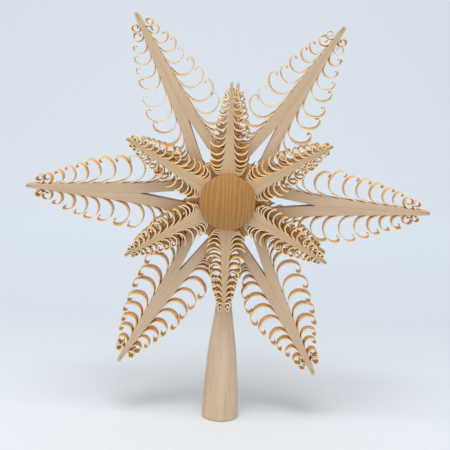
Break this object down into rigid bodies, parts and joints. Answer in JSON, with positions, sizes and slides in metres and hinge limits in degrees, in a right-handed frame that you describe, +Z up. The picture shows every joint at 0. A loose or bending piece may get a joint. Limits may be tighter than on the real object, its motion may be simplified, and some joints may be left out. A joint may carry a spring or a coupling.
{
  "type": "tree topper star",
  "caption": "Carved wooden tree topper star: long and short rays with curled shavings round a hub, on a turned socket that slips over the tree's top shoot.",
  "frame": {"origin": "centre of the socket's mouth, on the face the topper stands on", "axes": "+Z up along the socket, -Y is the front of the star, +X is to the right when seen from the front"},
  "size_m": [0.28, 0.0532, 0.2818],
  "materials": {
    "linden": "raw, cut and shaved, matte",
    "button_wood": "raw, turned, satin"
  },
  "bodies": {
    "root": {"back_button": "button_wood", "back_ray_02_left_lath": "linden", "back_ray_02_right_lath": "linden", "back_ray_04_left_lath": "linden", "back_ray_04_right_lath": "linden", "back_ray_06_left_lath": "linden", "back_ray_06_right_lath": "linden", "back_ray_08_left_lath": "linden", "back_ray_08_right_lath": "linden", "back_ray_10_left_lath": "linden", "back_ray_10_right_lath": "linden", "back_ray_12_left_lath": "linden", "back_ray_12_right_lath": "linden", "front_button": "button_wood", "front_ray_02_left_lath": "linden", "front_ray_02_right_lath": "linden", "front_ray_04_left_lath": "linden", "front_ray_04_right_lath": "linden", "front_ray_06_left_lath": "linden", "front_ray_06_right_lath": "linden", "front_ray_08_left_lath": "linden", "front_ray_08_right_lath": "linden", "front_ray_10_left_lath": "linden", "front_ray_10_right_lath": "linden", "front_ray_12_left_lath": "linden", "front_ray_12_right_lath": "linden", "hub_block": "linden", "long_ray_01_left_lath": "linden", "long_ray_01_right_lath": "linden", "long_ray_03_left_lath": "linden", "long_ray_03_right_lath": "linden", "long_ray_05_left_lath": "linden", "long_ray_05_right_lath": "linden", "long_ray_07_left_lath": "linden", "long_ray_07_right_lath": "linden", "long_ray_09_left_lath": "linden", "long_ray_09_right_lath": "linden", "long_ray_11_left_lath": "linden", "long_ray_11_right_lath": "linden", "tree_socket": "linden"}
  },
  "joints": []
}
